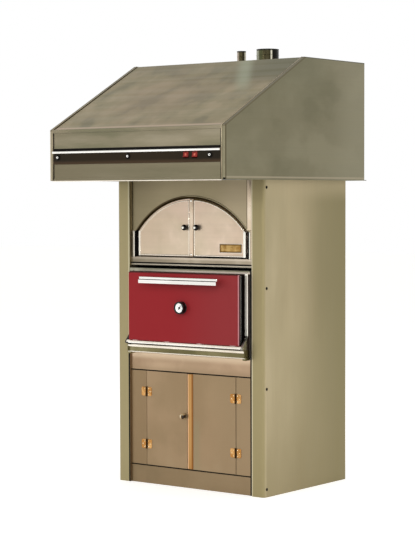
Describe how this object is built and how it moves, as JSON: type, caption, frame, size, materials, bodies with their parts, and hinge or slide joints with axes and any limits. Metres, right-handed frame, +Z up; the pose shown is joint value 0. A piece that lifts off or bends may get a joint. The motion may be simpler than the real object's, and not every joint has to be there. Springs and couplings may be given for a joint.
{
  "type": "charcoal oven",
  "caption": "Floor-standing charcoal oven: sheet-metal tower with a drop-down oven door, arched warming doors, a hinged cupboard below and a sloping extraction hood on top.",
  "frame": {"origin": "on the floor, under the middle of the whole object's bounding box", "axes": "+X to the right seen from the front, +Y to the back, +Z up"},
  "size_m": [1.06, 1.186, 2.174],
  "materials": {
    "hood_steel": "patinated brushed stainless steel with cloudy mottling",
    "side_steel": "satin khaki stainless steel",
    "front_steel": "satin taupe steel",
    "arch_steel": "light warm brushed steel",
    "frame_steel": "brushed steel",
    "galvanised": "plain galvanised sheet",
    "red_enamel": "satin red enamel",
    "dark_steel": "heat-proof dark grey paint",
    "strip_black": "black paint",
    "polished": "polished",
    "brass": "aged polished brass",
    "black_knob": "gloss black",
    "rocker_red": "gloss red",
    "gasket": "graphite rope",
    "insulation": "ceramic fibre board",
    "cast": "sooted cast iron",
    "case_black": "gloss black bezel"
  },
  "bodies": {
    "cabinet": {"arch_panel": "side_steel", "arch_reveal": "arch_steel", "ash_pan": "galvanised", "back_panel": "galvanised", "base_panel": "galvanised", "butt_leaves_fixed": "brass", "charcoal_grate": "cast", "conduit_spigot": "frame_steel", "control_rail": "polished", "control_strip": "strip_black", "cupboard_stiles": "front_steel", "door_gasket": "gasket", "exhaust_spigot": "frame_steel", "face_frame": "frame_steel", "fascia_panel": "front_steel", "firebox": "cast", "flue_pipe": "frame_steel", "grease_filters": "frame_steel", "grill_racks": "frame_steel", "hinge_brackets": "frame_steel", "hinge_pins": "frame_steel", "hood_back": "hood_steel", "hood_fascia": "hood_steel", "hood_side_left": "hood_steel", "hood_side_right": "hood_steel", "hood_slope": "hood_steel", "hood_soffit": "galvanised", "hood_top": "hood_steel", "ledge_shelf": "side_steel", "oven_casing": "galvanised", "oven_deck": "galvanised", "oven_insulation": "insulation", "plinth_panel": "front_steel", "side_panel_left": "side_steel", "side_panel_right": "side_steel", "side_screws": "frame_steel", "sill_rail": "arch_steel", "strip_fixings": "polished", "warming_box": "galvanised"},
    "oven_door": {"door_pan": "red_enamel", "door_insulation": "insulation", "door_liner": "dark_steel", "door_handle": "polished", "thermometer_case": "case_black", "hinge_rod": "polished"},
    "needle": {"thermometer_needle": "case_black"},
    "arch_leaf_left": {"arch_door_left": "arch_steel", "arch_knob_left": "black_knob"},
    "arch_leaf_right": {"arch_door_right": "arch_steel", "arch_knob_right": "black_knob", "arch_astragal": "arch_steel"},
    "cupboard_leaf_left": {"cupboard_door_left": "front_steel", "cupboard_knob": "brass", "butt_leaves_left": "brass"},
    "cupboard_leaf_right": {"cupboard_door_right": "front_steel", "cupboard_astragal": "brass", "butt_leaves_right": "brass"},
    "rocker_key_left": {"rocker_left": "rocker_red"},
    "rocker_key_right": {"rocker_right": "rocker_red"},
    "damper": {"flue_damper": "frame_steel"}
  },
  "joints": [
    {"name": "oven_door_hinge", "type": "hinge", "parent": "cabinet", "child": "oven_door", "pos_m": [0, -0.217, 0.706], "axis": [1, 0, 0], "range_deg": [0, 90]},
    {"name": "needle_turn", "type": "hinge", "parent": "oven_door", "child": "needle", "pos_m": [0, -0.244, 0.887], "axis": [0, -1, 0], "range_deg": [-90, 180]},
    {"name": "arch_left_hinge", "type": "hinge", "parent": "cabinet", "child": "arch_leaf_left", "pos_m": [-0.3385, -0.1465, 1.132], "axis": [0, 0, -1], "range_deg": [0, 100]},
    {"name": "arch_right_hinge", "type": "hinge", "parent": "cabinet", "child": "arch_leaf_right", "pos_m": [0.3385, -0.1465, 1.132], "axis": [0, 0, 1], "range_deg": [0, 100]},
    {"name": "cupboard_left_hinge", "type": "hinge", "parent": "cabinet", "child": "cupboard_leaf_left", "pos_m": [-0.275, -0.1663, 0.093], "axis": [0, 0, -1], "range_deg": [0, 120]},
    {"name": "cupboard_right_hinge", "type": "hinge", "parent": "cabinet", "child": "cupboard_leaf_right", "pos_m": [0.275, -0.1663, 0.093], "axis": [0, 0, 1], "range_deg": [0, 120]},
    {"name": "rocker_left_tilt", "type": "hinge", "parent": "cabinet", "child": "rocker_key_left", "pos_m": [0.3075, -0.575, 1.612], "axis": [1, 0, 0], "range_deg": [0, 16]},
    {"name": "rocker_right_tilt", "type": "hinge", "parent": "cabinet", "child": "rocker_key_right", "pos_m": [0.3585, -0.575, 1.612], "axis": [1, 0, 0], "range_deg": [0, 16]},
    {"name": "damper_turn", "type": "hinge", "parent": "cabinet", "child": "damper", "pos_m": [0, 0.288, 1.325], "axis": [0, 1, 0], "range_deg": [0, 90]}
  ]
}
